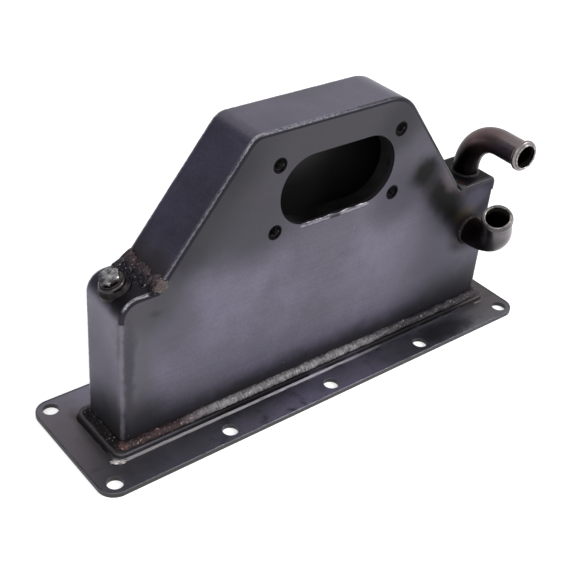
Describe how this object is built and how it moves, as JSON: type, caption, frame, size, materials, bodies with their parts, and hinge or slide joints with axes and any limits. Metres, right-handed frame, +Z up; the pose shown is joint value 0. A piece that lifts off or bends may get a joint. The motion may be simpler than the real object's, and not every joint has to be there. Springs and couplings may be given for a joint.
{
  "type": "oil cooler",
  "caption": "Welded sheet-steel oil cooler on a drilled flange, with a slotted oil port in front, coolant hose pipes and a vent plug.",
  "frame": {"origin": "centre of the ten bolt holes, on the underside of the flange", "axes": "+Z up from the flange, +X along the length towards the hose pipes, -Y out of the oil port"},
  "size_m": [0.34, 0.108, 0.1854],
  "materials": {
    "bare_steel_flange": "bare pressed mild steel, oiled, dark grey",
    "bare_steel_panel": "bare cold-rolled sheet, dark grey with a violet cast",
    "bare_steel_strip": "bare cold-rolled sheet",
    "machined_plate": "bare hot-rolled plate",
    "core_steel": "bare drawn tube and sheet",
    "fin_sheet": "folded thin sheet",
    "heat_tinted_tube": "bent tube with heat tint near the welds",
    "turned_steel": "turned",
    "copper_washer": "annealed and dull",
    "plug_steel": "bright plated",
    "weld_metal": "rough bead with brown tint",
    "ground_weld": "ground smooth"
  },
  "bodies": {
    "root": {"base_flange": "bare_steel_flange", "front_panel": "bare_steel_panel", "rear_panel": "bare_steel_panel", "hood_strip": "bare_steel_strip", "left_shoulder_cap": "bare_steel_strip", "right_shoulder_cap": "bare_steel_strip", "port_plate": "machined_plate", "left_header_plate": "core_steel", "right_header_plate": "core_steel", "header_divider": "core_steel", "upper_hose_pipe": "heat_tinted_tube", "lower_hose_pipe": "heat_tinted_tube", "vent_boss": "turned_steel", "vent_washer": "copper_washer", "vent_plug": "plug_steel", "base_weld": "weld_metal", "left_foot_weld": "weld_metal", "right_foot_weld": "weld_metal", "front_seam_weld": "ground_weld", "rear_seam_weld": "ground_weld", "upper_pipe_weld": "weld_metal", "lower_pipe_weld": "weld_metal", "boss_weld": "weld_metal", "lower_tube_1": "core_steel", "upper_tube_1": "core_steel", "lower_tube_2": "core_steel", "upper_tube_2": "core_steel", "lower_tube_3": "core_steel", "upper_tube_3": "core_steel", "lower_tube_4": "core_steel", "upper_tube_4": "core_steel", "fin_strip_1": "fin_sheet", "fin_strip_2": "fin_sheet", "fin_strip_3": "fin_sheet", "fin_strip_4": "fin_sheet", "fin_strip_5": "fin_sheet"}
  },
  "joints": []
}
